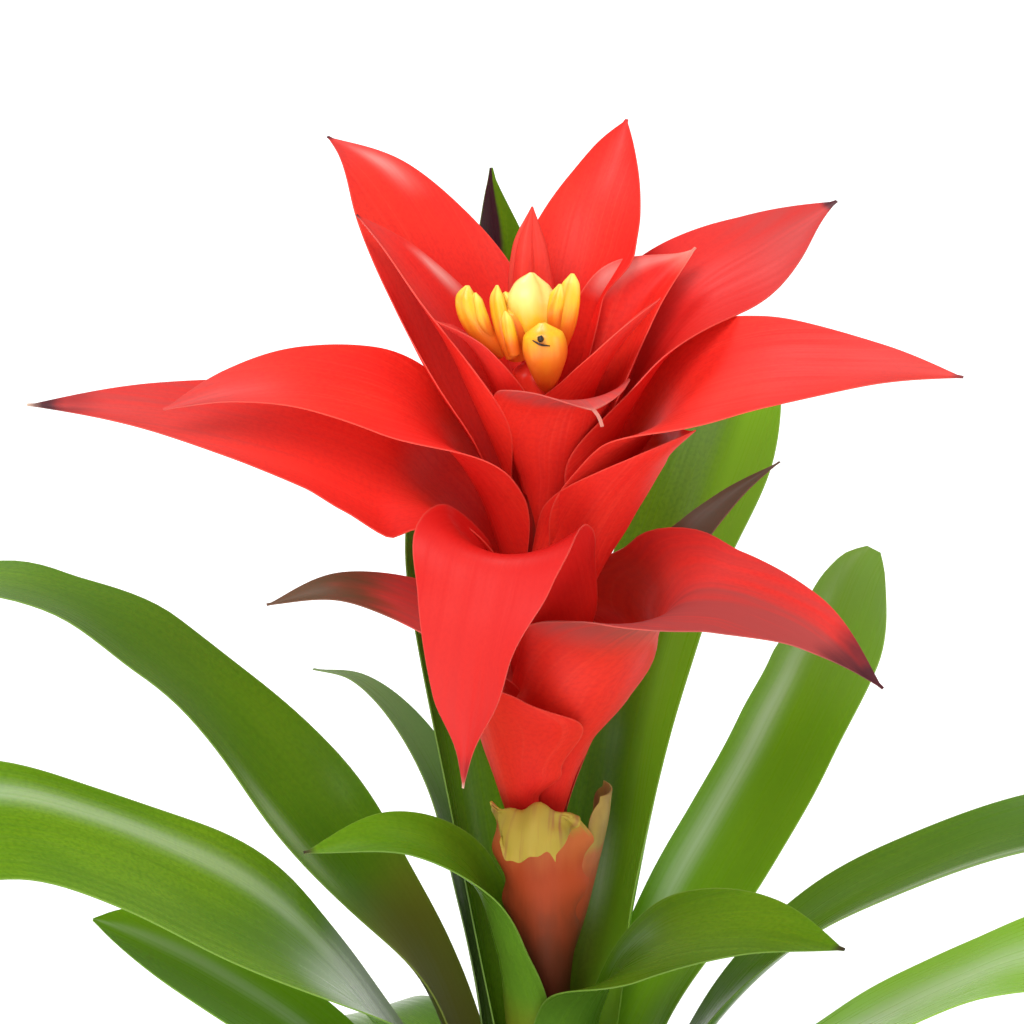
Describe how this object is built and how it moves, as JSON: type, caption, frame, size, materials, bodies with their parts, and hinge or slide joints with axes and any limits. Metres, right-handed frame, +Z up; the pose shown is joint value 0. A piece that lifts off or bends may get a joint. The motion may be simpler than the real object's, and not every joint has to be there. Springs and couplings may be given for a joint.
{
  "type": "guzmania",
  "caption": "Guzmania in flower, cut at the foot: a rosette of arching green strap leaves, and a stem with flaring red bracts round yellow flower buds.",
  "frame": {"origin": "centre of the flat cut face under the stock, on the axis of the stem", "axes": "+Z up along the stem, -Y towards the viewer of the picture, +X to the viewer's right"},
  "size_m": [0.3326, 0.2598, 0.2554],
  "materials": {
    "leaf": "satin",
    "bract": "satin",
    "dark_bract": "satin",
    "sheath": "satin",
    "stem": "matte",
    "flower": "satin"
  },
  "bodies": {
    "root": {"bract_01": "bract", "bract_02": "bract", "bract_03": "bract", "bract_04": "dark_bract", "bract_05": "bract", "bract_06": "bract", "bract_07": "bract", "bract_08": "bract", "bract_09": "bract", "bract_10": "bract", "bract_11": "bract", "bract_12": "bract", "bract_13": "bract", "bract_14": "bract", "bract_15": "bract", "bract_16": "bract", "bract_17": "bract", "closed_bract": "bract", "flowers": "flower", "leaf_01": "leaf", "leaf_02": "leaf", "leaf_03": "leaf", "leaf_04": "leaf", "leaf_05": "leaf", "leaf_06": "leaf", "leaf_07": "leaf", "leaf_08": "leaf", "leaf_09": "leaf", "leaf_10": "leaf", "leaf_11": "leaf", "leaf_12": "leaf", "leaf_13": "leaf", "leaf_14": "leaf", "leaf_15": "leaf", "leaf_16": "leaf", "leaf_17": "leaf", "leaf_18": "leaf", "scape_bract_front": "sheath", "scape_bract_side": "sheath", "stem": "stem"}
  },
  "joints": []
}
